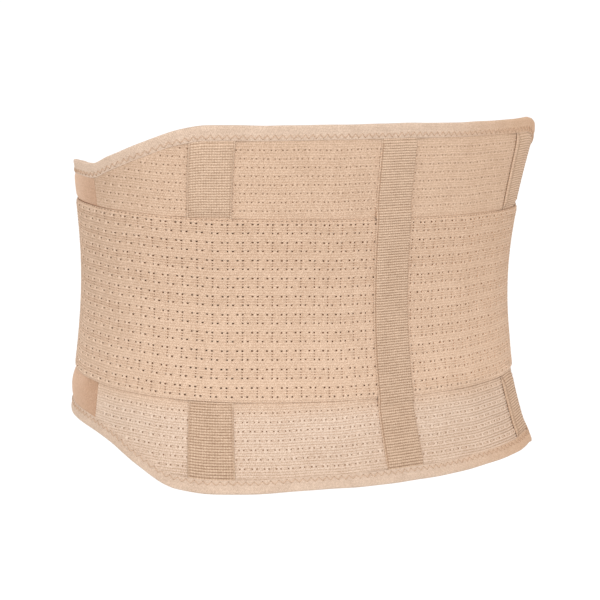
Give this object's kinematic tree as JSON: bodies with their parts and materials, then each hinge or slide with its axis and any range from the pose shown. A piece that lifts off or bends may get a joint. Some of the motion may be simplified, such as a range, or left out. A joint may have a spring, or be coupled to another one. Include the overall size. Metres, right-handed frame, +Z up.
{
  "type": "abdominal support belt",
  "caption": "Wide elastic support belt closed as worn: net back panel, smooth front panels, outer bands, ribbed stay tapes and bound edges.",
  "frame": {"origin": "middle of the loop at waist height, halfway up the outer bands, where a wearer's waist sits", "axes": "+Z up along the wearer's spine, +Y towards the wearer's front, +X towards the wearer's right"},
  "size_m": [0.3528, 0.256, 0.2415],
  "materials": {
    "net_elastic": "matte knitted net, beige",
    "smooth_cloth": "short smooth pile, darker beige",
    "ribbed_tape": "cross-ribbed woven tape, tan beige",
    "edge_binding": "soft folded binding with zigzag stitches, beige"
  },
  "bodies": {
    "root": {"back_panel": "net_elastic", "outer_band_left": "net_elastic", "outer_band_right": "net_elastic", "front_panel_left": "smooth_cloth", "front_panel_right": "smooth_cloth", "front_closure": "smooth_cloth", "stay_tape_left": "ribbed_tape", "stay_tape_right": "ribbed_tape", "stay_tape_centre": "ribbed_tape", "top_binding": "edge_binding", "bottom_binding": "edge_binding"}
  },
  "joints": []
}
